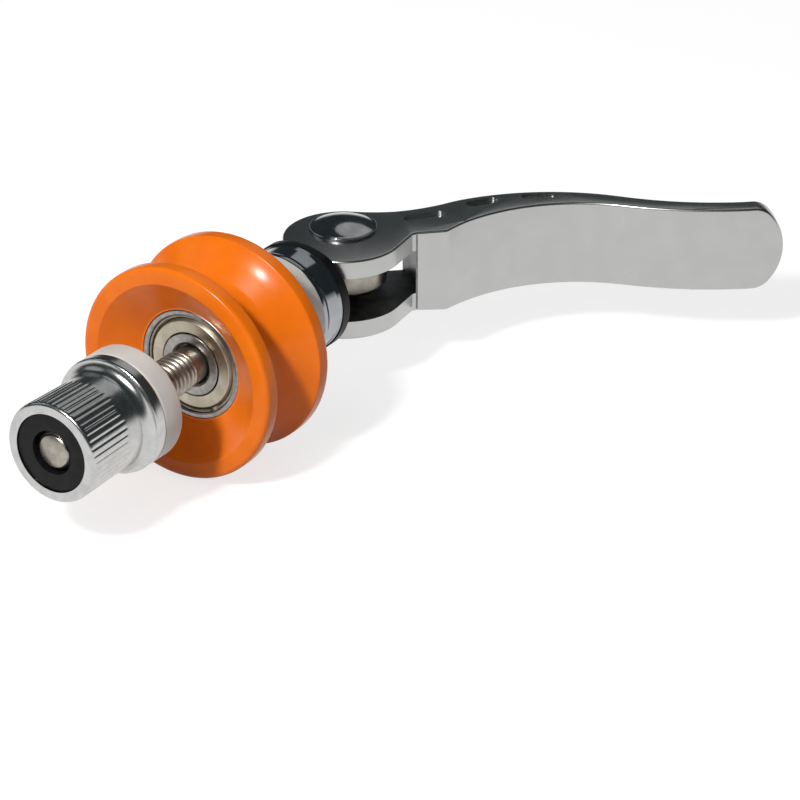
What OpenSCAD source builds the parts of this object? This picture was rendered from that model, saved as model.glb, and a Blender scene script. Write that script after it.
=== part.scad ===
/* [Skewer rod] */
// Outside diameter of the rod's thread
thread_d = 7.9; // [7.8:0.05:7.95]
// Diameter of the rod's plain shank
shank_d = 7.2; // [6.8:0.1:7.4]
// Distance from the lever side clamping face to the rod's free end
rod_reach = 64.9; // [63.5:0.1:65]
// Length of the thread from the free end
thread_len = 39.4; // [30:0.2:40]
// Outside diameter of the eye that the pivot pin goes through
eye_d = 17; // [15:0.2:17.4]
// Height of the eye, along the pin
eye_h = 7; // [6:0.2:8]

/* [Bearing] */
// Outside diameter of the ball bearing
bearing_d = 22; // [22:1:22]
// Bore of the ball bearing
bearing_bore = 8; // [8:1:8]
// Width of the ball bearing
bearing_w = 7; // [7:1:7]
// Diameter of a ball
ball_d = 3.97; // [3.9:0.01:4]
// Number of balls
ball_count = 7; // [6:1:7]

/* [Roller] */
// Outside diameter of the roller's two rims
roller_d = 42.6; // [40:0.1:46]
// Width of the roller
roller_w = 20; // [19:0.5:21]
// Width of the chain groove where it meets the rims
groove_w = 13.8; // [13.4:0.1:14]
// Radius of the chain groove's round bottom
groove_r = 4.5; // [4.3:0.1:4.8]
// Depth of the dish in each side of the roller
dish_depth = 5; // [4.5:0.1:5.2]
// Diameter at the dish's outer edge
dish_d = 36; // [34:0.2:37]
// Gap between the roller's rim and the lever side clamping face
dropout_gap = 8.3; // [7:0.1:9]

/* [Washers and nut] */
// Outside diameter of the two nylon washers
washer_d = 22.8; // [22:0.1:23]
// Thickness of a nylon washer
washer_t = 5.1; // [4.6:0.1:5.4]
// Gap between the roller's front rim and the nut's washer
nut_gap = 12.8; // [11:0.1:14]
// Length of the adjusting nut
nut_len = 19.5; // [18:0.1:21]
// Diameter of the nut's fluted grip at its end
grip_d = 19.7; // [19:0.1:20.4]
// Number of flutes round the grip
flute_count = 48; // [36:1:52]
// Length of the flutes
flute_len = 10.9; // [9:0.1:12]

/* [Cam cup and pad] */
// Outside diameter of the chromed cup
cup_d = 22.4; // [22:0.1:23]
// Length of the chromed cup
cup_len = 6.1; // [5.5:0.1:6.4]
// Thickness of the cam pad at its two horns
pad_t = 2.4; // [2.2:0.1:2.6]
// Radius of the shallow trough that the lever's ears sit in
trough_r = 24; // [22:1:30]

/* [Lever] */
// Angle that the lever has swung open from square across the rod
lever_angle = 40; // [0:1:120]
// Distance from the pivot pin to the lever's tip
lever_len = 87.7; // [84:0.1:90]
// Height of the lever's ears, along the pin
lever_h = 16.8; // [16.4:0.2:17.4]
// Height of the lever's blade, along the pin
blade_h = 17.6; // [16.8:0.2:18]
// Radius of the round ears, which are the cam
ear_r = 11.8; // [11.4:0.1:12]
// Distance of the ears' centre from the pivot
cam_throw = 3.415; // [3.3:0.005:3.5]
// Angle that the closed lever stands past the cam's dead centre
cam_lead = 6.9; // [0:0.1:10]
// Height of the slot between the ears
slot_h = 9.2; // [8.8:0.1:9.6]
// Diameter of the pivot pin
pin_d = 6; // [5:0.5:6]

/* [Hidden] */
$fn = 96;

// The rod lies along Y with the nut at -Y, and y = 0 is the lever side clamping face
cup_y = washer_t;
pad_y = cup_y + cup_len;
trough_y = pad_y + 1.6;
seat_gap = 0.28;
pivot_y = trough_y + seat_gap + ear_r + cam_throw * cos(lever_angle - cam_lead);
roller_back_y = -dropout_gap;
roller_front_y = roller_back_y - roller_w;
bearing_y = roller_front_y + dish_depth + bearing_w / 2;
nut_washer_y = roller_front_y - nut_gap - washer_t;
nut_y = nut_washer_y;

// Half of the bearing's pitch circle, and its running clearances
pitch_r = (bearing_d + bearing_bore) / 4;
race_r = ball_d / 2 + 0.04;
inner_ring_r = 6.2;
outer_land_r = 9;
shield_seat_r = 9.9;
shield_depth = 1.15;
sheet_t = 0.3;
wire_r = 0.32;
cage_t = 0.35;
bore_gap = 0.2;
edge_r = 0.4;

// Turns a profile drawn as [radius, distance along the rod] about the rod's axis
module turn(y = 0) {
    translate([0, y, 0]) rotate([-90, 0, 0]) rotate_extrude() children();
}

// A plain round along the rod's axis from y0 to y1
module round_bar(r, y0, y1) {
    translate([0, y0, 0]) rotate([-90, 0, 0]) cylinder(r = r, h = y1 - y0);
}

// Points of an arc about c, from angle a0 to angle a1, in n steps
function arc(c, r, a0, a1, n) =
    [for (i = [0:n]) let (a = a0 + (a1 - a0) * i / n) [c[0] + r * cos(a), c[1] + r * sin(a)]];

// A corner at p, rounded to r, where the outline turns from heading h0 to heading h1
function rounded(p, h0, h1, r, n) =
    let (side = h1 > h0 ? 1 : -1,
         back = r * tan(abs(h1 - h0) / 2),
         c = [p[0] - back * cos(h0) - side * r * sin(h0),
              p[1] - back * sin(h0) + side * r * cos(h0)])
    arc(c, r, h0 - 90 * side, h1 - 90 * side, n);

// Profile of a flat ring from y0 to y1 whose outer edges are rounded to e
module ring_profile(r_in, r_out, y0, y1, e) {
    polygon(concat([[r_in, y0]], arc([r_out - e, y0 + e], e, -90, 0, 6),
                   arc([r_out - e, y1 - e], e, 0, 90, 6), [[r_in, y1]]));
}

// Forged steel rod: threaded at the nut's end, with a flattened round eye for the pin
module skewer_rod() {
    end_chamfer = 0.9;
    runout = 0.8;
    eye_edge = 1.4;
    neck_y = pivot_y - eye_d / 2 + 1.2;
    color("#9d958a") difference() {
        union() {
            turn(-rod_reach) polygon([[0, 0], [thread_d / 2 - end_chamfer, 0],
                [thread_d / 2, end_chamfer], [thread_d / 2, thread_len - runout],
                [shank_d / 2, thread_len], [shank_d / 2, neck_y + rod_reach],
                [0, neck_y + rod_reach]]);
            translate([0, pivot_y, 0]) rotate_extrude() polygon([
                [0, -eye_h / 2], [eye_d / 2 - eye_edge, -eye_h / 2],
                [eye_d / 2, -eye_h / 2 + eye_edge], [eye_d / 2, eye_h / 2 - eye_edge],
                [eye_d / 2 - eye_edge, eye_h / 2], [0, eye_h / 2]]);
        }
        translate([0, pivot_y, -eye_h]) cylinder(d = pin_d + 0.1, h = 2 * eye_h);
    }
}

// Turned nut: a fluted grip, a smooth band, a cove and a flange, counterbored for the insert
insert_r = 7.7;
insert_len = 4;
insert_recess = 0.35;
module adjusting_nut() {
    band_r = grip_d / 2 - 0.45;
    flange_r = washer_d / 2;
    flange_t = 2.6;
    flange_edge = 0.7;
    cove_r = 2;
    end_round = 0.8;
    flute_r = 0.42;
    flute_y = end_round / 2;
    difference() {
        color("#c9cdd2") turn(nut_y - nut_len) polygon(concat(
            [[thread_d / 2 + 0.05, 0]],
            arc([grip_d / 2 - end_round, end_round], end_round, -90, 0, 6),
            [[band_r, nut_len - flange_t - cove_r]],
            arc([band_r + cove_r, nut_len - flange_t - cove_r], cove_r, 180, 90, 8),
            arc([flange_r - flange_edge, nut_len - flange_t + flange_edge], flange_edge,
                -90, 0, 6),
            [[flange_r, nut_len], [thread_d / 2 + 0.05, nut_len]]));
        color("#c9cdd2") round_bar(insert_r, nut_y - nut_len - 1, nut_y - nut_len + insert_len);
        color("#8d9299") for (i = [0:flute_count - 1]) rotate([0, 360 * i / flute_count, 0])
            translate([grip_d / 2 + 0.08, nut_y - nut_len + flute_y, 0]) rotate([-90, 0, 0.9])
                cylinder(r = flute_r, h = flute_len - flute_y, $fn = 16);
    }
}

// Black nylon ring in the nut's end, which grips the thread so that the nut stays put
module lock_insert() {
    hole_r = 4.3;
    face_y = nut_y - nut_len + insert_recess;
    color("#1c1c1e") turn(face_y) polygon([[hole_r + 0.3, 0], [insert_r, 0],
        [insert_r, insert_len - insert_recess], [hole_r, insert_len - insert_recess],
        [hole_r, 0.3]]);
}

// Milky nylon washer with softened edges
module nylon_washer(y) {
    color("#d3cac6") turn(y)
        ring_profile(thread_d / 2 + bore_gap, washer_d / 2, 0, washer_t, edge_r);
}
module nut_washer() nylon_washer(nut_washer_y);
module cup_washer() nylon_washer(0);

// Moulded roller: a chain groove whose two sides bulge a little toward it and meet in a round
// bottom, a rim and a dish on each side and a lip behind the bearing
module roller() {
    lip_r = 9.7;
    dish_floor_r = bearing_d / 2 + 0.7;
    rim_edge = 0.9;
    half = roller_w / 2;
    floor_y = half - dish_depth;
    lip_y = floor_y - (roller_w - 2 * dish_depth - bearing_w);
    rim_r = roller_d / 2;
    flank_r = 14;
    flank_lean = 45;
    flank_c = [rim_r - flank_r * cos(flank_lean), groove_w / 2 + flank_r * sin(flank_lean)];
    groove_c = flank_c[0] + sqrt(pow(flank_r + groove_r, 2) - pow(flank_c[1], 2));
    flank_end = atan2(flank_c[1], groove_c - flank_c[0]);
    color("#ef7320") turn((roller_front_y + roller_back_y) / 2) polygon(concat(
        [[bearing_d / 2, -floor_y], [dish_floor_r, -floor_y], [dish_d / 2, -half]],
        arc([rim_r - rim_edge, -half + rim_edge], rim_edge, -90, 0, 6),
        arc([flank_c[0], -flank_c[1]], flank_r, flank_lean, flank_end, 6),
        arc([groove_c, 0], groove_r, 180 + flank_end, 180 - flank_end, 14),
        arc(flank_c, flank_r, -flank_end, -flank_lean, 6),
        arc([rim_r - rim_edge, half - rim_edge], rim_edge, 0, 90, 6),
        [[dish_d / 2, half], [dish_floor_r, floor_y], [lip_r, floor_y], [lip_r, lip_y],
         [bearing_d / 2, lip_y]]));
}

// Hardened outer ring with its ball track, stepped at each face for a shield and snap ring
module bearing_outer_ring() {
    half = bearing_w / 2;
    step_y = half - shield_depth;
    face_r = 10.15;
    chamfer = 0.3;
    color("#8b8c8c") turn(bearing_y) difference() {
        polygon([[outer_land_r, -step_y], [shield_seat_r, -step_y],
            [shield_seat_r, -half + chamfer], [face_r, -half],
            [bearing_d / 2 - chamfer, -half], [bearing_d / 2, -half + chamfer],
            [bearing_d / 2, half - chamfer], [bearing_d / 2 - chamfer, half],
            [face_r, half], [shield_seat_r, half - chamfer],
            [shield_seat_r, step_y], [outer_land_r, step_y]]);
        translate([pitch_r, 0]) circle(r = race_r);
    }
}

// Hardened inner ring with its ball track, which slides on the rod's shank
module bearing_inner_ring() {
    half = bearing_w / 2;
    bore_r = bearing_bore / 2;
    chamfer = 0.5;
    color("#a9a9a8") turn(bearing_y) difference() {
        polygon([[bore_r + chamfer, -half], [inner_ring_r, -half], [inner_ring_r, half],
            [bore_r + chamfer, half], [bore_r, half - chamfer], [bore_r, -half + chamfer]]);
        translate([pitch_r, 0]) circle(r = race_r);
    }
}

// Places children at each ball, or halfway between balls
module at_balls(offset = 0) {
    for (i = [0:ball_count - 1])
        translate([0, bearing_y, 0]) rotate([0, (i + offset) * 360 / ball_count, 0])
            translate([pitch_r, 0, 0]) children();
}

// Steel balls
module bearing_balls() {
    color("#c6c8ca") at_balls() sphere(d = ball_d, $fn = 32);
}

// A thin washer of the cage's own width, from the bearing's middle out to depth on one side
module cage_band(side, depth) {
    ribbon_r = 0.75;
    translate([0, bearing_y, 0]) rotate([side > 0 ? -90 : 90, 0, 0]) difference() {
        cylinder(r = pitch_r + ribbon_r, h = depth);
        translate([0, 0, -1]) cylinder(r = pitch_r - ribbon_r, h = depth + 2);
    }
}

// One pressed half of the cage: a ribbon that arches over each ball, side is -1 or 1
module cage_half(side) {
    arch_r = ball_d / 2 + 0.06;
    color("#b5a584") difference() {
        union() {
            cage_band(side, cage_t);
            intersection() {
                cage_band(side, ball_d);
                at_balls() rotate([0, 90, 0])
                    cylinder(r = arch_r + cage_t, h = 4, center = true);
            }
        }
        at_balls() rotate([0, 90, 0]) cylinder(r = arch_r, h = 5, center = true);
        at_balls(0.5) rotate([90, 0, 0]) cylinder(r = 0.3, h = 4, center = true, $fn = 16);
    }
}
module bearing_cage_front() cage_half(-1);
module bearing_cage_back() cage_half(1);

// Rivets that join the two halves of the cage, one between each two balls
module cage_rivets() {
    head_t = 0.2;
    color("#b5a584") at_balls(0.5) rotate([90, 0, 0]) {
        cylinder(r = 0.3, h = 2 * cage_t, center = true, $fn = 16);
        for (s = [0, 180]) rotate([s, 0, 0])
            translate([0, 0, cage_t]) cylinder(r = 0.5, h = head_t, $fn = 16);
    }
}

// Pressed steel shield: a flat web that slopes in to the outer ring's step, side is -1 or 1
module bearing_shield(side) {
    web_y = bearing_w / 2 - 0.15;
    seat_y = bearing_w / 2 - shield_depth;
    hole_r = inner_ring_r + 0.18;
    bend_r = 8.75;
    slope_r = 9.15;
    color("#cfc9b8") translate([0, bearing_y, 0]) rotate([side > 0 ? -90 : 90, 0, 0])
        rotate_extrude() polygon([[hole_r, web_y - sheet_t], [bend_r - 0.15, web_y - sheet_t],
            [slope_r - 0.15, seat_y], [shield_seat_r, seat_y],
            [shield_seat_r, seat_y + sheet_t - 0.1], [slope_r + 0.1, seat_y + sheet_t - 0.1],
            [bend_r, web_y], [hole_r, web_y]]);
}
module bearing_shield_front() bearing_shield(-1);
module bearing_shield_back() bearing_shield(1);

// Sprung wire ring that holds a shield in, open at its gap
module snap_ring(side, gap_angle) {
    wire_y = bearing_w / 2 - shield_depth + sheet_t - 0.1 + wire_r;
    gap = 9;
    color("#6f6c66") translate([0, bearing_y + side * wire_y, 0]) rotate([-90, 0, 0])
        rotate([0, 0, gap_angle + gap / 2]) rotate_extrude(angle = 360 - gap)
            translate([shield_seat_r - wire_r, 0]) circle(r = wire_r, $fn = 24);
}
module snap_ring_front() snap_ring(-1, 60);
module snap_ring_back() snap_ring(1, 200);

// Chromed steel cup between the lever side washer and the cam pad, slightly waisted
module cam_cup() {
    cup_r = cup_d / 2;
    waist = 0.35;
    lip = 1;
    bore_r = thread_d / 2 + bore_gap;
    color("#c2c6cc") turn(cup_y) polygon(concat([[bore_r, 0]],
        arc([cup_r - edge_r, edge_r], edge_r, -90, 0, 6),
        [[cup_r, lip], [cup_r - waist, lip + 0.9], [cup_r - waist, cup_len - 0.9],
         [cup_r - 0.1, cup_len], [bore_r, cup_len]]));
}

// Black moulded pad with a shallow trough along Z that the lever's round ears turn in
module cam_pad() {
    pad_r = cup_d / 2 + 0.1;
    color("#202124") difference() {
        turn(pad_y) ring_profile(thread_d / 2 + bore_gap, pad_r, 0, pad_t, 0.3);
        translate([0, trough_y + trough_r, -pad_r - 1]) cylinder(r = trough_r, h = 2 * pad_r + 2);
    }
}

// Outline of the lever seen along the pin with the lever closed: the ears' circle lies
// toward the nut by the cam's throw, and each edge of the blade is three tangent arcs
ear_c = [-cam_throw * sin(cam_lead), -cam_throw * cos(cam_lead)];
back_hollow = [10.20, 37.19];
back_hollow_r = 30.14;
back_crest = [37.77, -31.91];
back_crest_r = 44.26;
back_tail = [81.02, 62.13];
back_tail_r = 59.25;
front_crest = [43.75, -27.10];
front_crest_r = 33.21;
front_tail = [81.09, 66.01];
front_tail_r = 67.11;
function heading(p, q) = atan2(q[1] - p[1], q[0] - p[0]);
module lever_outline() {
    steps = 14;
    neck_a = -33;
    neck_corner = [13.39, -3.79];
    crease = [20.09, -3.79];
    back_a1 = heading(ear_c, back_hollow);
    back_a2 = heading(back_hollow, back_crest);
    back_a3 = heading(back_crest, back_tail);
    front_a1 = heading(front_crest, crease);
    front_a2 = heading(front_crest, front_tail);
    back_end = asin((lever_len - back_tail[0]) / back_tail_r);
    front_end = asin((lever_len - front_tail[0]) / front_tail_r);
    polygon(concat(
        [ear_c, ear_c + ear_r * [cos(neck_a), sin(neck_a)]],
        rounded(neck_corner, 90 + neck_a, 0, 1.6, 6),
        rounded(crease, 0, front_a1 - 90, 1.5, 4),
        arc(front_crest, front_crest_r, front_a1 - 2.5, front_a2, steps),
        arc(front_tail, front_tail_r, front_a2 - 180, front_end - 90, steps),
        arc(back_tail, back_tail_r, back_end - 90, back_a3 - 180, steps),
        arc(back_crest, back_crest_r, back_a3, back_a2 + 180, steps),
        arc(back_hollow, back_hollow_r, back_a2, back_a1 - 180, steps)));
}

// A shallow oval pocket in the top and the bottom edge of the lever, centred at p
module edge_pocket(p, heading, length, width) {
    depth = 1;
    for (s = [-1, 1]) translate([p[0], p[1], s * blade_h / 2]) rotate(heading) {
        cube([length - width, width, 2 * depth], center = true);
        for (e = [-1, 1]) translate([e * (length - width) / 2, 0, 0])
            cylinder(d = width, h = 2 * depth, center = true, $fn = 32);
    }
}

// The lever seen square onto its blade, which is a little taller than the ears and ends in a
// flat arc with two rounded corners, made deep enough to hold the whole lever
module blade_plan() {
    ears_end = 11;
    blade_start = 24;
    end_r = 11;
    corner_r = 4.5;
    depth = 60;
    corner_z = blade_h / 2 - corner_r;
    end_x = lever_len - end_r;
    corner_x = end_x + sqrt(pow(end_r - corner_r, 2) - pow(corner_z, 2));
    corner_a = atan2(corner_z, corner_x - end_x);
    translate([0, depth / 2, 0]) rotate([90, 0, 0]) linear_extrude(depth) polygon(concat(
        [[-2 * ear_r, -lever_h / 2], [ears_end, -lever_h / 2], [blade_start, -blade_h / 2]],
        arc([corner_x, -corner_z], corner_r, -90, -corner_a, 8),
        arc([end_x, 0], end_r, -corner_a, corner_a, 12),
        arc([corner_x, corner_z], corner_r, corner_a, 90, 8),
        [[blade_start, blade_h / 2], [ears_end, lever_h / 2], [-2 * ear_r, lever_h / 2]]));
}

// Forged and polished lever: two round ears that are the cam, a neck and an S curved blade
module cam_lever() {
    slot_r = 15.8;
    color("#b9bab8") translate([0, pivot_y, 0]) rotate(lever_angle) difference() {
        union() {
            translate([ear_c[0], ear_c[1], -lever_h / 2]) cylinder(r = ear_r, h = lever_h);
            intersection() {
                translate([0, 0, -blade_h / 2]) linear_extrude(blade_h) lever_outline();
                blade_plan();
            }
        }
        translate([0, 0, -slot_h / 2]) cylinder(r = slot_r, h = slot_h);
        translate([0, 0, -lever_h]) cylinder(d = pin_d, h = 2 * lever_h);
        edge_pocket([16.5, 3.5], 9, 8.5, 3);
        edge_pocket([28.5, 8.4], 18, 6.8, 2.6);
        edge_pocket([40.1, 10], -3, 7, 2);
    }
}

// Steel pivot pin with a broad domed head on top and a small peened end below
module pivot_pin() {
    head_r = 6.6;
    rim_t = 0.7;
    dome_h = 1.3;
    peen_r = 4.4;
    peen_t = 0.9;
    dome_r = (pow(head_r - 0.3, 2) + pow(dome_h, 2)) / (2 * dome_h);
    top = lever_h / 2;
    color("#77787a") translate([0, pivot_y, 0]) rotate_extrude() polygon(concat(
        [[0, -top - peen_t], [peen_r - 0.7, -top - peen_t], [peen_r, -top - 0.2],
         [peen_r, -top], [pin_d / 2, -top], [pin_d / 2, top], [head_r, top],
         [head_r, top + rim_t]],
        arc([0, top + rim_t + dome_h - dome_r], dome_r, acos((head_r - 0.3) / dome_r), 90, 12)));
}

skewer_rod();
adjusting_nut();
lock_insert();
nut_washer();
roller();
bearing_outer_ring();
bearing_inner_ring();
bearing_balls();
bearing_cage_front();
bearing_cage_back();
cage_rivets();
bearing_shield_front();
bearing_shield_back();
snap_ring_front();
snap_ring_back();
cup_washer();
cam_cup();
cam_pad();
cam_lever();
pivot_pin();
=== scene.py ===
from math import acos, asin, atan2, ceil, cos, degrees, hypot, pi, radians, sin, sqrt, tan

import bmesh
import bpy
from mathutils import Matrix, Vector


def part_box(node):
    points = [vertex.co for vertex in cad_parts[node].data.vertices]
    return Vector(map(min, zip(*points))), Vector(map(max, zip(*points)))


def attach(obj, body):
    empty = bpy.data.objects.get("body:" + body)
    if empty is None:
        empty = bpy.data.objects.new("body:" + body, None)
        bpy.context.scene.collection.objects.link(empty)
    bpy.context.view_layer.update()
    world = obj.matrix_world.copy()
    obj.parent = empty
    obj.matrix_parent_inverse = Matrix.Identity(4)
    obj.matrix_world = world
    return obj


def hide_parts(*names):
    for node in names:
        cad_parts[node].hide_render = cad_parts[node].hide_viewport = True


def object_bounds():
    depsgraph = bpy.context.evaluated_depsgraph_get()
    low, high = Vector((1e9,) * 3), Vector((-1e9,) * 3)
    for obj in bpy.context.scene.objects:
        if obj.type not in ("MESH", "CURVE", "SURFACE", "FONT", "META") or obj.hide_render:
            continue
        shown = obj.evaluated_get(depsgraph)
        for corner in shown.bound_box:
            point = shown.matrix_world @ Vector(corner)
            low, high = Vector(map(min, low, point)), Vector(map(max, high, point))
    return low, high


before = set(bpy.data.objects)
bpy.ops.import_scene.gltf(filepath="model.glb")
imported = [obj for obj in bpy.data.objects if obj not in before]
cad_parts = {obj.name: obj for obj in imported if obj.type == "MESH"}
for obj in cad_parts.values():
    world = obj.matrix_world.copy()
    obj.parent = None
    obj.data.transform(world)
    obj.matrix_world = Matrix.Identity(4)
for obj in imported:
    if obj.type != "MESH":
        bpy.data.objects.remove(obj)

cad_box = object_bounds()

# The skewer rod is a forged steel bar, nickel plated, with an M8 thread rolled on the nut's
# end, a plain shank under the bearing and a flattened round eye that the pivot pin goes
# through. Everything else slides or screws on to it, so the shapes start here.
MM = 0.001
rod_low, rod_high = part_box("skewer_rod")
rod_end = rod_low.y / MM
eye_r = rod_high.x / MM
pivot_y = rod_high.y / MM - eye_r
thread_r = 3.95
thread_depth = 0.75
thread_pitch = 1.25
thread_stop = -25.5
shank_r = 3.6
eye_half = 3.5
eye_chamfer = 1.4
pin_r = 3.0


def round_corners(corners, steps=5):
    """A turned profile from (radius, along, corner radius) points, with each corner rounded."""
    points = []
    last = len(corners) - 1
    for i, (r, y, rounding) in enumerate(corners):
        if rounding <= 0 or i in (0, last):
            points.append((r, y))
            continue
        here = Vector((r, y))
        to_last = Vector(corners[i - 1][:2]) - here
        to_next = Vector(corners[i + 1][:2]) - here
        half = to_last.angle(to_next) / 2
        reach = min(rounding / tan(half), 0.49 * to_last.length, 0.49 * to_next.length)
        rounding = reach * tan(half)
        middle = (to_last.normalized() + to_next.normalized()).normalized()
        centre = here + middle * (rounding / sin(half))
        start = here + to_last.normalized() * reach - centre
        end = here + to_next.normalized() * reach - centre
        for k in range(steps + 1):
            ray = start.slerp(end, k / steps, start)
            points.append(tuple(centre + ray * (rounding / max(ray.length, 1e-9))))
    return points


def clean_piece(name, bm, sharp=32.0):
    """Makes an object of a mesh in millimetres: welded, facing out, smooth but for its sharp edges."""
    bmesh.ops.remove_doubles(bm, verts=bm.verts, dist=0.0005)
    bmesh.ops.dissolve_degenerate(bm, edges=bm.edges, dist=0.0002)
    bmesh.ops.recalc_face_normals(bm, faces=bm.faces)
    for face in bm.faces:
        face.smooth = True
    for edge in bm.edges:
        edge.smooth = edge.is_manifold and edge.calc_face_angle(0.0) < radians(sharp)
    bm.transform(Matrix.Scale(MM, 4))
    mesh = bpy.data.meshes.new(name)
    bm.to_mesh(mesh)
    bm.free()
    piece = bpy.data.objects.new(name, mesh)
    bpy.context.scene.collection.objects.link(piece)
    return piece


def turned(name, profile, about="Y", centre=(0, 0, 0), segments=128, closed=True, sharp=32.0):
    """A piece turned on a lathe: the profile's (radius, along) points spun round Y or Z."""
    bm = bmesh.new()
    rings = []
    for r, along in profile:
        if r < 1e-6:
            spots = [(0.0, 0.0)]
        else:
            spots = [(r * cos(2 * pi * i / segments), r * sin(2 * pi * i / segments))
                     for i in range(segments)]
        ring = []
        for a, b in spots:
            at = (a, along, -b) if about == "Y" else (a, b, along)
            ring.append(bm.verts.new(Vector(at) + Vector(centre)))
        rings.append(ring)
    pairs = list(zip(rings, rings[1:] + rings[:1])) if closed else list(zip(rings, rings[1:]))
    for low, high in pairs:
        if len(low) == 1 and len(high) == 1:
            continue
        for i in range(segments):
            j = (i + 1) % segments
            around = [low[i % len(low)], low[j % len(low)], high[j % len(high)], high[i % len(high)]]
            corners = list(dict.fromkeys(around))
            if len(corners) > 2:
                bm.faces.new(corners)
    return clean_piece(name, bm, sharp)


def threaded_rod(name):
    """The rod's round part: a helix of rolled ridges that fades into the plain shank."""
    segments = 64
    per_turn = 12
    end_chamfer = 0.9
    fade = 1.1
    crest = 0.12
    root = 0.26
    rows = ceil((thread_stop - rod_end) / thread_pitch + 1) * per_turn
    bm = bmesh.new()
    grid = []
    for j in range(rows + 1):
        row = []
        for i in range(segments + 1):
            turn = i / segments
            along = rod_end + thread_pitch * (j / per_turn - 1 + turn)
            phase = abs((j / per_turn) % 1 - 0.5) * 2
            rise = min(1.0, max(0.0, (phase - root) / (1 - crest - root)))
            r = thread_r - thread_depth * (1 - rise)
            along = min(max(along, rod_end), thread_stop)
            blend = min(1.0, max(0.0, (thread_stop - along) / fade))
            r = shank_r + (r - shank_r) * blend
            r = min(r, thread_r - end_chamfer + (along - rod_end))
            a = 2 * pi * turn
            row.append(bm.verts.new((r * cos(a), along, -r * sin(a))))
        grid.append(row)
    for low, high in zip(grid, grid[1:]):
        for i in range(segments):
            bm.faces.new((low[i], low[i + 1], high[i + 1], high[i]))
    eye_overlap = 1.2
    shank_top = pivot_y - eye_r + eye_overlap
    for along, r in ((rod_end, thread_r - end_chamfer), (shank_top, shank_r)):
        ring = [bm.verts.new((r * cos(2 * pi * i / segments), along, -r * sin(2 * pi * i / segments)))
                for i in range(segments)]
        bm.faces.new(ring)
    for i in range(segments):
        low, high = 2 * pi * i / segments, 2 * pi * (i + 1) / segments
        bm.faces.new([bm.verts.new((shank_r * cos(a), y, -shank_r * sin(a)))
                      for a, y in ((low, thread_stop), (high, thread_stop),
                                   (high, shank_top), (low, shank_top))])
    return clean_piece(name, bm, sharp=50.0)


def noise_bump(nodes, links, shader, scale, strength, distance, stretch=(1, 1, 1)):
    """A fine relief from noise in the piece's own coordinates, stretched along its grain."""
    place = nodes.new("ShaderNodeTexCoord")
    grain = nodes.new("ShaderNodeMapping")
    grain.inputs["Scale"].default_value = stretch
    noise = nodes.new("ShaderNodeTexNoise")
    noise.inputs["Scale"].default_value = scale
    noise.inputs["Detail"].default_value = 4.0
    bump = nodes.new("ShaderNodeBump")
    bump.inputs["Strength"].default_value = strength
    bump.inputs["Distance"].default_value = distance
    links.new(place.outputs["Object"], grain.inputs["Vector"])
    links.new(grain.outputs["Vector"], noise.inputs["Vector"])
    links.new(noise.outputs["Fac"], bump.inputs["Height"])
    links.new(bump.outputs["Normal"], shader.inputs["Normal"])
    return noise


def finish_of(name, dark, light, roughness, metallic=0.0, grain=900.0, relief=0.1,
              stretch=(1, 1, 1), spread=0.06):
    """A finish whose colour and roughness drift a little between two limits, with a fine relief."""
    material = bpy.data.materials.new(name)
    material.use_nodes = True
    nodes, links = material.node_tree.nodes, material.node_tree.links
    shader = nodes["Principled BSDF"]
    shader.inputs["Metallic"].default_value = metallic
    noise = noise_bump(nodes, links, shader, grain, relief, 0.0001, stretch)
    tint = nodes.new("ShaderNodeValToRGB")
    tint.color_ramp.elements[0].position = 0.35
    tint.color_ramp.elements[1].position = 0.65
    tint.color_ramp.elements[0].color = (*dark, 1)
    tint.color_ramp.elements[1].color = (*light, 1)
    gloss = nodes.new("ShaderNodeMapRange")
    gloss.inputs["To Min"].default_value = roughness - spread
    gloss.inputs["To Max"].default_value = roughness + spread
    links.new(noise.outputs["Fac"], tint.inputs["Fac"])
    links.new(noise.outputs["Fac"], gloss.inputs["Value"])
    links.new(tint.outputs["Color"], shader.inputs["Base Color"])
    links.new(gloss.outputs["Result"], shader.inputs["Roughness"])
    return material


rod = threaded_rod("rod_with_thread")
eye = turned("rod_eye", round_corners([
    (pin_r + 0.05, -eye_half, 0), (eye_r - eye_chamfer, -eye_half, 0.3),
    (eye_r, -eye_half + eye_chamfer, 0.3), (eye_r, eye_half - eye_chamfer, 0.3),
    (eye_r - eye_chamfer, eye_half, 0.3), (pin_r + 0.05, eye_half, 0)]),
    about="Z", centre=(0, pivot_y, 0))
plated_steel = finish_of("nickel_plated_steel", (0.30, 0.275, 0.235), (0.40, 0.37, 0.32),
                         0.32, metallic=1.0, grain=700.0, relief=0.1)
for part in (rod, eye):
    part.data.materials.append(plated_steel)
    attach(part, "skewer")
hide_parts("skewer_rod")

# The roller is one glossy orange moulding: a V groove for the chain with gently hollow sides
# and a round bottom, a dish in each side so that the washers clear the rims, and a lip behind
# the bearing, which is pressed in from the nut's side.
roller_low, roller_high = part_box("roller")
roller_y = (roller_low.y + roller_high.y) / 2 / MM
half_w = (roller_high.y - roller_low.y) / 2 / MM
rim_r = roller_high.x / MM - 0.01
groove_half = 6.9
groove_r = 3.2
flank_r = 15.0
flank_top, flank_foot = 59.0, 44.0
dish_edge_r = 18.0
dish_floor_r = 11.3
dish_depth = 5.0
bearing_r = 11.0
lip_r = 9.7
lip_t = 3.0
rim_edge = 0.9
dish_edge = 0.35
dish_fillet = 0.6
groove_edge = 0.35


def arc(centre, r, start, end, steps):
    """Points along an arc, from one angle to another in degrees."""
    angles = [radians(start + (end - start) * i / steps) for i in range(steps + 1)]
    return [(centre[0] + r * cos(a), centre[1] + r * sin(a)) for a in angles]


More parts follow.
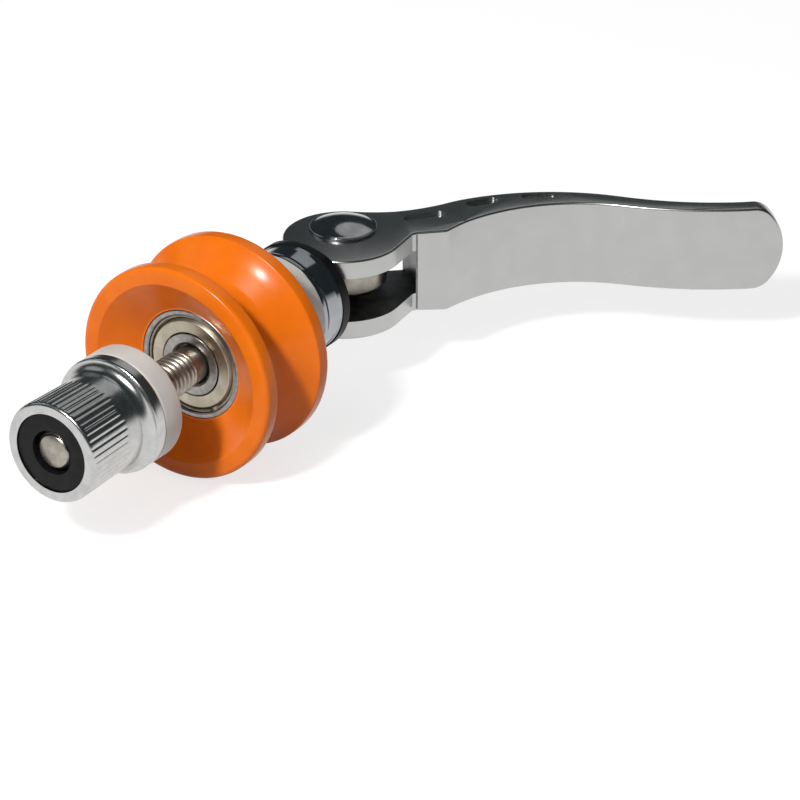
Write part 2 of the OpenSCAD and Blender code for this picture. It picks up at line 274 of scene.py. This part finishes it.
def groove_side():
    """One side of the groove from its rim: a hollow arc, a straight, then the round bottom."""
    top, foot = radians(flank_top), radians(flank_foot)
    flank_c = (rim_r + flank_r * cos(top), groove_half - flank_r * sin(top))
    side = arc(flank_c, flank_r, 180 - flank_top, 180 - flank_foot, 24)
    foot_y = groove_r * sin(foot)
    foot_r = side[-1][0] - (side[-1][1] - foot_y) * tan(foot)
    return side + arc((foot_r + groove_r * cos(foot), 0), groove_r, 180 - flank_foot, 180, 16)


def roller_profile():
    """The roller's section: front dish and rim, the groove's two sides, back rim and dish, lip."""
    floor = half_w - dish_depth
    front = round_corners([
        (lip_r, floor - lip_t, 0), (bearing_r, floor - lip_t, 0), (bearing_r, -floor, 0.25),
        (dish_floor_r, -floor, dish_fillet), (dish_edge_r, -half_w, dish_edge),
        (rim_r, -half_w, rim_edge), (rim_r, -groove_half, groove_edge),
        (rim_r - 1, -groove_half + 0.6, 0)])[:-1]
    side = [point for point in groove_side() if point[1] < groove_half - 0.4]
    groove = [(r, -y) for r, y in side] + side[-2::-1]
    back = round_corners([
        (rim_r - 1, groove_half - 0.6, 0), (rim_r, groove_half, groove_edge),
        (rim_r, half_w, rim_edge), (dish_edge_r, half_w, dish_edge),
        (dish_floor_r, floor, dish_fillet), (lip_r, floor, 0.3),
        (lip_r, floor - lip_t, 0)])[1:-1]
    return front + groove + back


roller = turned("chain_roller", roller_profile(), centre=(0, roller_y, 0), segments=192)
orange = finish_of("orange_moulding", (0.83, 0.163, 0.004), (0.88, 0.190, 0.007), 0.22,
                   grain=160.0, relief=0.03, spread=0.03)
orange.node_tree.nodes["Principled BSDF"].inputs["Specular IOR Level"].default_value = 0.22
roller.data.materials.append(orange)
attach(roller, "roller")
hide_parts("roller")

# The ball bearing is the common 22 by 8 by 7 mm size: two ground steel rings, seven balls in a
# pressed and riveted cage, and on each face a pressed shield held by a sprung wire ring.
bearing_low, bearing_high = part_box("bearing_outer_ring")
bearing_y = (bearing_low.y + bearing_high.y) / 2 / MM
bearing_half = (bearing_high.y - bearing_low.y) / 2 / MM
pitch_r = 7.5
track_r = 2.025
bore_r = 4.0
inner_r = 6.2
land_r = 9.0
seat_r = 9.9
step_depth = 1.15
sheet_t = 0.3
wire_r = 0.26
bend_r = 8.75
slope_r = 9.15
snap_gap = 9


def track(radius_side, from_r):
    """The ball track cut in a ring, as profile points in order of y."""
    reach = sqrt(track_r ** 2 - (from_r - pitch_r) ** 2)
    half_angle = degrees(asin(reach / track_r))
    if radius_side == "outer":
        return arc((pitch_r, 0), track_r, half_angle, -half_angle, 12)
    return arc((pitch_r, 0), track_r, 180 + half_angle, 180 - half_angle, 12)


step = bearing_half - step_depth
outer_ring = turned("bearing_outer", round_corners([
    (land_r, -step, 0), (seat_r, -step, 0), (seat_r, -bearing_half + 0.25, 0),
    (seat_r + 0.25, -bearing_half, 0.05), (bearing_r, -bearing_half, 0.3),
    (bearing_r, bearing_half, 0.3), (seat_r + 0.25, bearing_half, 0.05),
    (seat_r, bearing_half - 0.25, 0), (seat_r, step, 0), (land_r, step, 0)], 3)
    + track("outer", land_r), centre=(0, bearing_y, 0))
inner_ring = turned("bearing_inner", track("inner", inner_r)[::-1] + round_corners([
    (inner_r, bearing_half - 1.0, 0), (inner_r, bearing_half, 0.12),
    (bore_r + 0.5, bearing_half, 0.15), (bore_r, bearing_half - 0.5, 0.15),
    (bore_r, -bearing_half + 0.5, 0.15), (bore_r + 0.5, -bearing_half, 0.15),
    (inner_r, -bearing_half, 0.12), (inner_r, -bearing_half + 1.0, 0)], 3),
    centre=(0, bearing_y, 0))
ground_steel = finish_of("ground_bearing_steel", (0.26, 0.26, 0.25), (0.38, 0.38, 0.37), 0.33,
                         metallic=1.0, grain=1100.0, relief=0.08)
for ring, body, node in ((outer_ring, "roller", "bearing_outer_ring"),
                         (inner_ring, "inner_ring", "bearing_inner_ring")):
    ring.data.materials.append(ground_steel)
    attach(ring, body)
    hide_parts(node)


def shield(name, side):
    """A pressed disc whose web slopes in at its rim to the step in the outer ring."""
    web = bearing_half - 0.15
    seat = bearing_half - step_depth
    points = round_corners([
        (inner_r + 0.18, web - sheet_t, 0), (bend_r - 0.15, web - sheet_t, 0.2),
        (slope_r - 0.15, seat, 0.1), (seat_r - 0.02, seat, 0), (seat_r - 0.02, seat + 0.2, 0),
        (slope_r + 0.1, seat + 0.2, 0.12), (bend_r, web, 0.3), (inner_r + 0.32, web, 0.1),
        (inner_r + 0.18, web - 0.14, 0.05), (inner_r + 0.18, web - sheet_t, 0)], 4)
    return turned(name, [(r, side * y) for r, y in points[:-1]], centre=(0, bearing_y, 0))


def snap_ring(name, side, gap_at):
    """Round wire bent to a ring that is open at a gap, seated on the shield."""
    seat = bearing_half - step_depth
    centre_y = bearing_y + side * (seat + sheet_t - 0.1 + wire_r)
    ring_r = seat_r - wire_r - 0.02
    steps, around = 120, 14
    bm = bmesh.new()
    rows = []
    for i in range(steps + 1):
        a = radians(gap_at + snap_gap / 2 + (360 - snap_gap) * i / steps)
        row = []
        for k in range(around):
            t = 2 * pi * k / around
            r = ring_r + wire_r * cos(t)
            row.append(bm.verts.new((r * cos(a), centre_y + wire_r * sin(t), -r * sin(a))))
        rows.append(row)
    for low, high in zip(rows, rows[1:]):
        for k in range(around):
            n = (k + 1) % around
            bm.faces.new((low[k], low[n], high[n], high[k]))
    bm.faces.new(rows[0])
    bm.faces.new(rows[-1])
    return clean_piece(name, bm, sharp=50.0)


shield_steel = finish_of("pressed_shield_steel", (0.38, 0.35, 0.27), (0.50, 0.47, 0.38), 0.34,
                         metallic=1.0, grain=500.0, relief=0.1)
spring_wire = finish_of("dark_spring_wire", (0.24, 0.22, 0.18), (0.36, 0.34, 0.29), 0.35,
                        metallic=1.0, grain=900.0, relief=0.1)
for side, face, gap_at in ((-1, "front", 60), (1, "back", 200)):
    disc = shield("shield_" + face, side)
    disc.data.materials.append(shield_steel)
    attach(disc, "roller")
    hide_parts("bearing_shield_" + face)
    wire = snap_ring("snap_wire_" + face, side, gap_at)
    wire.data.materials.append(spring_wire)
    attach(wire, "roller")
    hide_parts("snap_ring_" + face)
ball_steel = finish_of("polished_balls", (0.62, 0.62, 0.63), (0.72, 0.72, 0.73), 0.1,
                       metallic=1.0, relief=0.02, spread=0.03)
cage_steel = finish_of("pressed_cage", (0.40, 0.35, 0.27), (0.52, 0.46, 0.37), 0.35,
                       metallic=1.0, grain=800.0)
for node, material in (("bearing_balls", ball_steel), ("bearing_cage_front", cage_steel),
                       ("bearing_cage_back", cage_steel), ("cage_rivets", cage_steel)):
    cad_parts[node].data.materials.clear()
    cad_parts[node].data.materials.append(material)

# The two washers are thick rings of milky nylon with softened edges. One lies on the nut's
# flange and one on the cup, and each clamps against the frame or the bearing.
washer_r = 11.4
washer_bore = 4.15
washer_edge = 0.45
washer_chamfer = 0.3
milky = finish_of("milky_nylon", (0.64, 0.61, 0.57), (0.69, 0.66, 0.62), 0.42,
                  grain=220.0, relief=0.06, spread=0.05)
milky_shader = milky.node_tree.nodes["Principled BSDF"]
milky_shader.inputs["Subsurface Weight"].default_value = 0.35
milky_shader.inputs["Subsurface Radius"].default_value = (0.002, 0.0016, 0.0014)
milky_shader.inputs["Subsurface Scale"].default_value = 1.0
for node, body in (("nut_washer", "nut_carrier"), ("cup_washer", "lever_washer")):
    low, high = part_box(node)
    near, far = low.y / MM, high.y / MM
    ring = turned(node + "_nylon", round_corners([
        (washer_bore, near, 0), (washer_r, near, washer_edge), (washer_r, far, washer_edge),
        (washer_bore + washer_chamfer, far, 0), (washer_bore, far - washer_chamfer, 0),
        (washer_bore, near + washer_chamfer, 0)], 6))
    ring.data.materials.append(milky)
    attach(ring, body)
    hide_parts(node)

# The adjusting nut is turned from bar and polished: a grip with fine milled flutes, a smooth
# band, a cove and a flange. Its end is counterbored for the black nylon ring that grips the
# thread.
nut_low, nut_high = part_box("adjusting_nut")
nut_end = nut_low.y / MM
nut_face = nut_high.y / MM
grip_r = 9.85
band_r = 9.4
flute_count = 48
flute_depth = 0.13
flute_share = 0.65
flute_start = 0.4
flute_len = 10.9
flute_lead = 0.55
cove_r = 2.0
flange_t = 2.45
insert_r = 7.7
insert_bore = 4.3
insert_len = 4.0
insert_recess = 0.35
end_land = 1.2
press_gap = 0.02


def fluted_nut(name):
    """The nut as rings: the flutes dent the grip's, and the bore and counterbore are plain."""
    per_flute = 10
    ring_step = 0.35
    segments = flute_count * per_flute
    outside = round_corners([
        (insert_r, nut_end, 0), (grip_r, nut_end, 0.8), (grip_r - 0.05, nut_end + 2.0, 0),
        (band_r + 0.1, nut_end + flute_len + 0.6, 0), (band_r, nut_face - 4.4, 0)], 6)
    outside += arc((band_r + cove_r, nut_face - 4.6), cove_r, 180, 96, 10)
    outside += round_corners([
        (washer_r - 1.2, nut_face - 2.6, 0), (washer_r, nut_face - flange_t, 0.7),
        (washer_r, nut_face, 0.3), (thread_r + 0.05, nut_face, 0)], 6)
    inside = [(thread_r + 0.05, nut_end + insert_len), (insert_r, nut_end + insert_len)]
    profile = []
    for low, high in zip(outside, outside[1:]):
        parts = max(1, ceil(abs(high[1] - low[1]) / ring_step))
        profile += [(low[0] + (high[0] - low[0]) * k / parts,
                     low[1] + (high[1] - low[1]) * k / parts) for k in range(parts)]
    profile += [outside[-1]] + inside
    bm = bmesh.new()
    rings = []
    for r, along in profile:
        from_ends = min(nut_end + flute_len - along, along - nut_end - flute_start)
        into = min(1.0, max(0.0, from_ends / flute_lead))
        depth = flute_depth * sqrt(into) * (1.0 if r > insert_r + end_land else 0.0)
        ring = []
        for i in range(segments):
            wave = abs((i % per_flute) / per_flute - 0.5) * 2
            dent = (1 + cos(pi * min(1.0, wave / flute_share))) / 2
            reach = r - depth * dent
            a = 2 * pi * i / segments
            ring.append(bm.verts.new((reach * cos(a), along, -reach * sin(a))))
        rings.append(ring)
    for low, high in zip(rings, rings[1:] + rings[:1]):
        for i in range(segments):
            j = (i + 1) % segments
            bm.faces.new((low[i], low[j], high[j], high[i]))
    return clean_piece(name, bm, sharp=40.0)


nut = fluted_nut("fluted_lock_nut")
bright_alloy = finish_of("polished_nut_alloy", (0.46, 0.46, 0.45), (0.53, 0.53, 0.52), 0.22,
                         metallic=1.0, grain=600.0, relief=0.04, spread=0.03)
nut.data.materials.append(bright_alloy)
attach(nut, "nut")
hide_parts("adjusting_nut")
insert = turned("nylon_lock_ring", round_corners([
    (insert_bore, nut_end + insert_recess, 0.35),
    (insert_r - press_gap, nut_end + insert_recess, 0.25),
    (insert_r - press_gap, nut_end + insert_len - press_gap, 0),
    (insert_bore, nut_end + insert_len - press_gap, 0),
    (insert_bore, nut_end + insert_recess + 0.8, 0)], 4))
black_nylon = finish_of("black_nylon", (0.004, 0.004, 0.005), (0.010, 0.010, 0.011), 0.42,
                        grain=400.0, relief=0.1)
black_nylon.node_tree.nodes["Principled BSDF"].inputs["Specular IOR Level"].default_value = 0.15
insert.data.materials.append(black_nylon)
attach(insert, "nut")
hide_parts("lock_insert")

# The cup is a chromed steel ring, slightly waisted, and the pad pressed on it is black moulded
# nylon with a shallow trough that the lever's round ears turn in.
cup_low, cup_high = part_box("cam_cup")
cup_near, cup_far = cup_low.y / MM, cup_high.y / MM
cup_r = 11.2
cup_lip = 1.0
cup_waist = 0.35
waist_near, waist_far, waist_edge = 1.9, 0.9, 0.8
cup_bore = 4.15
pad_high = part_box("cam_pad")[1].y / MM
pad_r = 11.3
trough_r = 24.0
trough_y = cup_far + 1.6
cup = turned("chromed_cup", round_corners([
    (cup_bore, cup_near, 0), (cup_r, cup_near, 0.45), (cup_r, cup_near + cup_lip, 0.3),
    (cup_r - cup_waist, cup_near + waist_near, waist_edge),
    (cup_r - cup_waist, cup_far - waist_far, waist_edge),
    (cup_r - 0.1, cup_far, 0), (cup_bore, cup_far, 0)], 5))
chrome = finish_of("cup_chrome", (0.31, 0.32, 0.34), (0.35, 0.36, 0.38), 0.1, metallic=1.0,
                   grain=300.0, relief=0.03, spread=0.03)
cup.data.materials.append(chrome)
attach(cup, "cup")
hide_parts("cam_cup")


def saddle_pad(name):
    """The pad as rings of points whose top follows the trough, with a softened outer edge."""
    segments = 144
    edge = 0.35
    soft = 0.12
    radii = [cup_bore + (pad_r - edge - cup_bore) * i / 22 for i in range(23)]
    edge_turns = [(pad_r - edge + edge * sin(radians(t)), edge * (1 - cos(radians(t))))
                  for t in (15, 30, 45, 60, 75, 90)]
    bm = bmesh.new()
    rings = []
    for r, drop in [(r, 0.0) for r in radii] + edge_turns:
        ring = []
        for i in range(segments):
            a = 2 * pi * i / segments
            x, z = r * cos(a), -r * sin(a)
            trough = trough_y + trough_r - sqrt(trough_r ** 2 - x * x)
            top = (trough + pad_high - sqrt((trough - pad_high) ** 2 + soft ** 2)) / 2
            ring.append(bm.verts.new((x, top - drop, z)))
        rings.append(ring)
    for r in (pad_r, cup_bore):
        rings.append([bm.verts.new((r * cos(2 * pi * i / segments), cup_far,
                                    -r * sin(2 * pi * i / segments))) for i in range(segments)])
    for low, high in zip(rings, rings[1:] + rings[:1]):
        for i in range(segments):
            j = (i + 1) % segments
            bm.faces.new((low[i], low[j], high[j], high[i]))
    return clean_piece(name, bm, sharp=40.0)


pad = saddle_pad("saddle_pad")
pad.data.materials.append(black_nylon)
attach(pad, "cup")
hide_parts("cam_pad")

# The lever is one polished aluminium forging: two round ears that are the cam, parted by a saw cut
# that is the slot for the rod's eye, then a short flat neck and an S curved blade with three oval
# pockets in each edge. It is drawn closed, square across the rod, and swung open about the pin.
blade_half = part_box("cam_lever")[1].z / MM
ear_half = 8.4
lever_open = 40.0
lever_len = 87.7
ear_r = 11.8
cam_throw = 3.415
cam_lead = radians(6.9)
slot_half = 4.6
slot_r, slot_end_r = 15.8, 14.4
slot_end_from, slot_end_to = -50, 80
ear_c = (-cam_throw * sin(cam_lead), -cam_throw * cos(cam_lead))
back_hollow, back_hollow_r = (10.20, 37.19), 30.14
back_crest, back_crest_r = (37.77, -31.91), 44.26
back_tail, back_tail_r = (81.02, 62.13), 59.25
front_crest, front_crest_r = (43.75, -27.10), 33.21
front_tail, front_tail_r = (81.09, 66.01), 67.11
neck_angle = -33.0
neck_corner, neck_r = (13.39, -3.79), 1.6
crease, crease_r, crease_turn = (20.09, -3.79), 1.5, 2.5
ears_end, blade_start = 11.0, 24.0
tip_arc, tip_corner, tip_flat = 11.0, 4.5, 81.0
edge_round = 0.5
cut_round = 0.15
pocket_depth = 1.0
# Each pocket's centre, angle, length and width.
pockets = (((16.5, 3.5), 9.0, 8.5, 3.0), ((28.5, 8.4), 18.0, 6.8, 2.6),
           ((40.1, 10.0), -3.0, 7.0, 2.0))


def heading(p, q):
    """The direction from one point to another, in degrees."""
    return degrees(atan2(q[1] - p[1], q[0] - p[0]))


def rounded(corner, before, after, r, steps):
    """A corner of the outline where its heading turns from before to after, rounded to r."""
    side = 1 if after > before else -1
    back = r * tan(radians(abs(after - before)) / 2)
    b = radians(before)
    centre = (corner[0] - back * cos(b) - side * r * sin(b),
              corner[1] - back * sin(b) + side * r * cos(b))
    return arc(centre, r, before - 90 * side, after - 90 * side, steps)


def lever_outline():
    """The closed lever seen along the pin: the ears, out along the front and back again."""
    fine = 30
    back_1 = heading(ear_c, back_hollow)
    back_2 = heading(back_hollow, back_crest)
    back_3 = heading(back_crest, back_tail)
    front_1 = heading(front_crest, crease)
    front_2 = heading(front_crest, front_tail)
    back_end = degrees(asin((lever_len - back_tail[0]) / back_tail_r))
    front_end = degrees(asin((lever_len - front_tail[0]) / front_tail_r))
    outline = (arc(ear_c, ear_r, back_1, 360 + neck_angle, 96)
               + rounded(neck_corner, 90 + neck_angle, 0, neck_r, 8)
               + rounded(crease, 0, front_1 - 90, crease_r, 6)
               + arc(front_crest, front_crest_r, front_1 - crease_turn, front_2, fine)
               + arc(front_tail, front_tail_r, front_2 - 180, front_end - 90, fine)[1:]
               + arc(back_tail, back_tail_r, back_end - 90, back_3 - 180, fine)
               + arc(back_crest, back_crest_r, back_3, back_2 + 180, fine)[1:]
               + arc(back_hollow, back_hollow_r, back_2, back_1 - 180, fine)[1:-1])
    return [point for point in outline if not tip_flat < point[0] < lever_len - 0.01]


def slab(outline, low, high):
    """A flat slab: the outline raised from one height to another."""
    bm = bmesh.new()
    bottom = [bm.verts.new((x, y, low)) for x, y in outline]
    top = [bm.verts.new((x, y, high)) for x, y in outline]
    bm.faces.new(bottom[::-1])
    bm.faces.new(top)
    for i in range(len(outline)):
        j = (i + 1) % len(outline)
        bm.faces.new((bottom[i], bottom[j], top[j], top[i]))
    return bm


def tool(bm):
    """A shape in millimetres to cut with, as an object that is removed after the cut."""
    bmesh.ops.recalc_face_normals(bm, faces=bm.faces)
    mesh = bpy.data.meshes.new("cutter")
    bm.to_mesh(mesh)
    bm.free()
    cutter = bpy.data.objects.new("cutter", mesh)
    bpy.context.scene.collection.objects.link(cutter)
    return cutter


def cut(blank, cutters, operation):
    """Cuts a blank with each cutter in turn and removes the cutters."""
    for shape in cutters:
        step = blank.modifiers.new("cut", "BOOLEAN")
        step.operation = operation
        step.solver = "EXACT"
        step.object = shape
    bake(blank)
    for shape in cutters:
        bpy.data.objects.remove(shape)


def bake(piece):
    """Applies a piece's modifiers to its mesh."""
    bpy.context.view_layer.update()
    shown = piece.evaluated_get(bpy.context.evaluated_depsgraph_get())
    mesh = bpy.data.meshes.new_from_object(shown)
    piece.modifiers.clear()
    piece.data = mesh


def stadium(centre, angle, length, width):
    """An oval outline: two half rounds joined by straights, turned to an angle."""
    reach = (length - width) / 2
    points = (arc((reach, 0), width / 2, -90, 90, 12)
              + arc((-reach, 0), width / 2, 90, 270, 12))
    c, s = cos(radians(angle)), sin(radians(angle))
    return [(centre[0] + x * c - y * s, centre[1] + x * s + y * c) for x, y in points]


def blade_plan():
    """The lever seen square onto its blade: ears, a taller blade and an arc with two corners."""
    deep = 30.0
    corner_z = blade_half - tip_corner
    end_x = lever_len - tip_arc
    corner_x = end_x + sqrt((tip_arc - tip_corner) ** 2 - corner_z ** 2)
    spread = degrees(atan2(corner_z, corner_x - end_x))
    outline = ([(-20, -ear_half), (ears_end, -ear_half), (blade_start, -blade_half)]
               + arc((corner_x, -corner_z), tip_corner, -90, -spread, 12)
               + arc((end_x, 0), tip_arc, -spread, spread, 20)[1:-1]
               + arc((corner_x, corner_z), tip_corner, spread, 90, 12)
               + [(blade_start, blade_half), (ears_end, ear_half), (-20, ear_half)])
    bm = slab(outline, -deep, deep)
    bmesh.ops.rotate(bm, verts=bm.verts, cent=(0, 0, 0), matrix=Matrix.Rotation(pi / 2, 3, "X"))
    return tool(bm)


def ease(piece, width, clamp):
    """Rounds a piece's sharp edges to a width in millimetres."""
    bevel = piece.modifiers.new("eased edges", "BEVEL")
    bevel.width = width
    bevel.segments = 4
    bevel.limit_method = "ANGLE"
    bevel.angle_limit = radians(32)
    bevel.use_clamp_overlap = clamp
    bake(piece)


def forged_lever(name):
    """The forging with its long edges eased, then its slot, pin hole and pockets, swung open."""
    blank = tool(slab(lever_outline(), -blade_half, blade_half))
    blank.name = name
    cut(blank, [blade_plan()], "INTERSECT")
    ease(blank, edge_round, False)
    slot = (arc((0, 0), slot_end_r, slot_end_from, slot_end_to, 48)
            + arc((0, 0), slot_r, slot_end_to, slot_end_from + 360, 80))
    cutters = [tool(slab(slot, -slot_half, slot_half)),
               tool(slab(arc((0, 0), pin_r, 0, 360, 48)[:-1], -20, 20))]
    for at, angle, length, width in pockets:
        for side in (-1, 1):
            cutters.append(tool(slab(stadium(at, angle, length, width),
                                     side * blade_half - pocket_depth,
                                     side * blade_half + pocket_depth)))
    cut(blank, cutters, "DIFFERENCE")
    ease(blank, cut_round, True)
    bm = bmesh.new()
    bm.from_mesh(blank.data)
    bm.transform(Matrix.Rotation(radians(lever_open), 4, "Z"))
    bm.transform(Matrix.Translation((0, pivot_y, 0)))
    bpy.data.objects.remove(blank)
    return clean_piece(name, bm, sharp=30.0)


lever = forged_lever("cam_lever_forging")
polished = finish_of("polished_aluminium", (0.455, 0.455, 0.445), (0.475, 0.475, 0.465), 0.27,
                     metallic=1.0, grain=240.0, relief=0.01, spread=0.01)
# The slot's faces get a rougher metal, like a sawn face, that is also far darker than the polished
# lever: the darkness is painted shade for the dark inside of the slot.
slot_shade = finish_of("slot_faces_painted_shade", (0.14, 0.14, 0.14), (0.22, 0.22, 0.22), 0.4,
                 metallic=1.0, grain=600.0, relief=0.1)
lever.data.materials.append(polished)
lever.data.materials.append(slot_shade)
# Faces within the slot's width and reach take the dark metal, which paints shade into the slot.
for face in lever.data.polygons:
    x, y, z = face.center / MM
    if abs(z) < slot_half + 0.02 and hypot(x, y - pivot_y) < slot_r + 0.02:
        face.material_index = 1
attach(lever, "lever")
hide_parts("cam_lever")

# The pivot pin is polished steel with a broad domed head and a thin rim, dropped in from
# above, and its lower end is peened over the ear.
head_r = 6.6
head_edge = 0.45
rim_t = 0.7
dome_h = 1.3
peen_r = 4.4
peen_t = 0.9
dome_r = ((head_r - head_edge) ** 2 + dome_h ** 2) / (2 * dome_h)
dome = arc((0, ear_half + rim_t + dome_h - dome_r), dome_r,
           degrees(acos((head_r - head_edge) / dome_r)), 90, 20)
pin = turned("domed_pivot_pin", round_corners([
    (0, -ear_half - peen_t, 0), (peen_r - 0.7, -ear_half - peen_t, 0.5),
    (peen_r, -ear_half - 0.2, 0.2), (peen_r, -ear_half + 0.01, 0), (pin_r, -ear_half, 0),
    (pin_r, ear_half, 0), (head_r, ear_half - 0.01, 0), (head_r, ear_half + rim_t, 0.25),
    (head_r - 0.4, ear_half + rim_t, 0)], 5) + dome, about="Z", centre=(0, pivot_y, 0),
    closed=False)
pin_steel = finish_of("polished_pin_steel", (0.36, 0.36, 0.37), (0.46, 0.46, 0.47), 0.12,
                      metallic=1.0, grain=400.0, relief=0.03, spread=0.04)
pin.data.materials.append(pin_steel)
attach(pin, "lever")
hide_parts("pivot_pin")

# The setting is a plain pale floor under soft lamps, white walls low down and a dark ceiling
# that polished metal shows. The camera stands where the photograph was taken from: its place
# is worked out from one point's spot in the picture.
picture = 800
focal = 4000.0
camera_az, camera_el, camera_dist = radians(33.45), radians(27.25), 0.748
bearing_face = Vector((0, (bearing_y - bearing_half) * MM, 0))
bearing_face_px = (190.2, 364.7)
back = Vector((sin(camera_az) * cos(camera_el), -cos(camera_az) * cos(camera_el),
               sin(camera_el)))
right = Vector((cos(camera_az), sin(camera_az), 0))
up = back.cross(right)
across = (bearing_face_px[0] - picture / 2) / focal
down = (bearing_face_px[1] - picture / 2) / focal
camera = bpy.data.objects.new("camera", bpy.data.cameras.new("camera"))
camera.data.sensor_width = 36.0
camera.data.lens = camera.data.sensor_width * focal / picture
camera.data.clip_start = 0.05
camera.data.clip_end = 20.0
camera.location = bearing_face - (right * across - up * down - back) * camera_dist
camera.rotation_euler = Matrix((right, up, back)).transposed().to_euler()
bpy.context.scene.collection.objects.link(camera)
bpy.context.scene.camera = camera

floor_gap = 0.0005
floor_size = 1.5
bm = bmesh.new()
bmesh.ops.create_grid(bm, x_segments=8, y_segments=8, size=floor_size)
mesh = bpy.data.meshes.new("floor")
bm.to_mesh(mesh)
bm.free()
floor = bpy.data.objects.new("floor", mesh)
floor.location = (0, 0, cad_box[0].z - floor_gap)
bpy.context.scene.collection.objects.link(floor)


def shown_white(nodes, links, plain, white):
    """Mixes a plain shader with a white one that only the camera and reflections see."""
    path = nodes.new("ShaderNodeLightPath")
    seen = nodes.new("ShaderNodeMath")
    seen.operation = "MAXIMUM"
    either = nodes.new("ShaderNodeMath")
    either.operation = "MAXIMUM"
    mix = nodes.new("ShaderNodeMixShader")
    links.new(path.outputs["Is Camera Ray"], seen.inputs[0])
    links.new(path.outputs["Is Glossy Ray"], seen.inputs[1])
    links.new(seen.outputs[0], either.inputs[0])
    links.new(path.outputs["Is Transmission Ray"], either.inputs[1])
    links.new(either.outputs[0], mix.inputs[0])
    links.new(plain.outputs[0], mix.inputs[1])
    links.new(white.outputs[0], mix.inputs[2])
    return mix


floor_paint = bpy.data.materials.new("pale_floor")
floor_paint.use_nodes = True
nodes, links = floor_paint.node_tree.nodes, floor_paint.node_tree.links
paint = nodes["Principled BSDF"]
paint.inputs["Base Color"].default_value = (0.45, 0.45, 0.45, 1)
paint.inputs["Roughness"].default_value = 0.9
glow = nodes.new("ShaderNodeEmission")
glow.inputs["Strength"].default_value = 0.74
half_glow = nodes.new("ShaderNodeAddShader")
soft_paint = nodes.new("ShaderNodeBsdfDiffuse")
soft_paint.inputs["Color"].default_value = (0.4, 0.4, 0.4, 1)
links.new(glow.outputs[0], half_glow.inputs[0])
links.new(soft_paint.outputs[0], half_glow.inputs[1])
mixed = shown_white(nodes, links, paint, half_glow)
links.new(mixed.outputs[0], nodes["Material Output"].inputs["Surface"])
floor.data.materials.append(floor_paint)

wall_top, ceiling_edge = 0.48, 0.56
world = bpy.data.worlds.new("studio")
bpy.context.scene.world = world
world.use_nodes = True
nodes, links = world.node_tree.nodes, world.node_tree.links
around = nodes.new("ShaderNodeTexCoord")
height = nodes.new("ShaderNodeSeparateXYZ")
walls = nodes.new("ShaderNodeValToRGB")
walls.color_ramp.elements[0].position = wall_top
walls.color_ramp.elements[0].color = (1, 1, 1, 1)
walls.color_ramp.elements[1].position = ceiling_edge
walls.color_ramp.elements[1].color = (0.035, 0.045, 0.05, 1)
scaled = nodes.new("ShaderNodeMapRange")
scaled.inputs["From Min"].default_value = -1.0
links.new(around.outputs["Generated"], height.inputs[0])
links.new(height.outputs["Z"], scaled.inputs["Value"])
links.new(scaled.outputs["Result"], walls.inputs["Fac"])
links.new(walls.outputs["Color"], nodes["Background"].inputs["Color"])
nodes["Background"].inputs["Strength"].default_value = 1.0
fill = nodes.new("ShaderNodeBackground")
fill.inputs["Color"].default_value = (1, 1, 1, 1)
fill.inputs["Strength"].default_value = 0.2
seen_world = shown_white(nodes, links, fill, nodes["Background"])
links.new(seen_world.outputs[0], nodes["World Output"].inputs["Surface"])


def lamp(name, place, size, power):
    """A soft round lamp that points at the object's middle."""
    light = bpy.data.lights.new(name, "AREA")
    light.shape = "DISK"
    light.size = size
    light.energy = power
    holder = bpy.data.objects.new(name, light)
    middle = (cad_box[0] + cad_box[1]) / 2
    holder.location = middle + Vector(place)
    holder.rotation_euler = (-Vector(place)).to_track_quat("-Z", "Y").to_euler()
    bpy.context.scene.collection.objects.link(holder)


lamp("key", (0.046, -0.656, 0.614), 0.1, 5.6)
lamp("haze", (0.05, -0.66, 0.61), 0.5, 1.4)
lamp("left", (-0.75, -0.25, 0.55), 0.6, 0.4)
lamp("back", (-0.2, 0.7, 0.9), 0.8, 0.8)
bpy.context.scene.view_settings.view_transform = "Standard"
